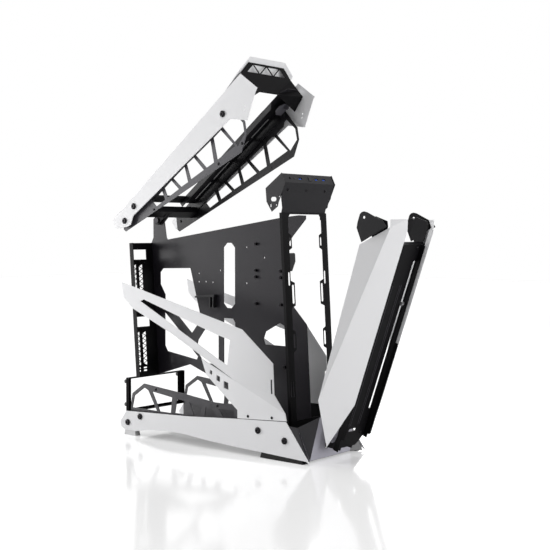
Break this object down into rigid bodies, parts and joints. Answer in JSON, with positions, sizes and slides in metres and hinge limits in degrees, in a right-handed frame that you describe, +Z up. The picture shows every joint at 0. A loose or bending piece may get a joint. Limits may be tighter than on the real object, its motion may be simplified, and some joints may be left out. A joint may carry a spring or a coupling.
{
  "type": "open air test bench",
  "caption": "Open computer bench frame: white folded side plates and wings on black trusses, a motherboard tray, a front control head, a lid and a front door on hinges.",
  "frame": {"origin": "on the floor, in the middle plane, at the middle of the base's side plates", "axes": "+X towards the front door, +Y towards the right-hand side, +Z up"},
  "size_m": [0.9431, 0.26, 1.0163],
  "materials": {
    "white_coat": "white powder coat, satin",
    "black_coat": "black powder coat, satin",
    "black_rubber": "matt rubber",
    "black_hardware": "blackened steel",
    "steel": "plain steel",
    "black_plastic": "moulded plastic",
    "blue_plastic": "blue plastic tongues"
  },
  "bodies": {
    "frame": {"audio_jack": "black_plastic", "base_bolts": "black_hardware", "base_pan": "black_coat", "base_truss_left": "black_coat", "base_truss_right": "black_coat", "board_standoffs": "black_hardware", "cable_clip": "black_plastic", "control_board": "black_plastic", "control_head": "black_coat", "door_hinge_lugs": "black_coat", "door_hinge_pin": "steel", "front_foot_strips": "black_rubber", "front_frame": "black_coat", "head_screws": "black_hardware", "head_side_left": "black_coat", "head_side_right": "black_coat", "motherboard_tray": "black_coat", "nose_cover": "black_coat", "psu_frame": "black_coat", "psu_thumbscrews": "black_plastic", "rear_feet": "black_rubber", "rear_panel": "black_coat", "shroud_left": "white_coat", "shroud_right": "white_coat", "side_plate_left": "white_coat", "side_plate_right": "white_coat", "skirt_screws": "black_hardware", "slot_covers_lower": "black_coat", "slot_covers_upper": "black_coat", "slot_screws": "black_hardware", "tray_hanger": "black_plastic", "usb_shells": "steel", "usb_tongues": "blue_plastic"},
    "lid": {"lid_bolts": "black_hardware", "lid_cap": "black_coat", "lid_crown": "white_coat", "lid_hinge_bracket": "black_coat", "lid_hinge_pin": "steel", "lid_plate_left": "white_coat", "lid_plate_right": "white_coat", "lid_radiator_bracket": "black_coat", "lid_screws": "black_hardware", "lid_spacers": "black_hardware", "lid_truss_left": "black_coat", "lid_truss_right": "black_coat"},
    "door": {"door_channel": "black_coat", "door_ear_left": "black_coat", "door_ear_right": "black_coat", "door_hinge_arms": "black_coat", "door_screws": "black_hardware", "door_shell_left": "white_coat", "door_shell_right": "white_coat"},
    "power_button": {"power_button": "black_plastic"},
    "reset_button": {"reset_button": "black_plastic"}
  },
  "joints": [
    {"name": "lid_hinge", "type": "hinge", "parent": "frame", "child": "lid", "pos_m": [-0.303, 0, 0.6], "axis": [0, 1, 0], "range_deg": [0, 24.9]},
    {"name": "door_hinge", "type": "hinge", "parent": "frame", "child": "door", "pos_m": [0.292, 0, 0.04], "axis": [0, -1, 0], "range_deg": [0, 25.5]},
    {"name": "power_slide", "type": "slide", "parent": "frame", "child": "power_button", "axis": [-0.8904, 0, -0.4551], "range_m": [0, 0.002], "stiffness_N_per_m": 600},
    {"name": "reset_slide", "type": "slide", "parent": "frame", "child": "reset_button", "axis": [-0.8904, 0, -0.4551], "range_m": [0, 0.0015], "stiffness_N_per_m": 500}
  ]
}
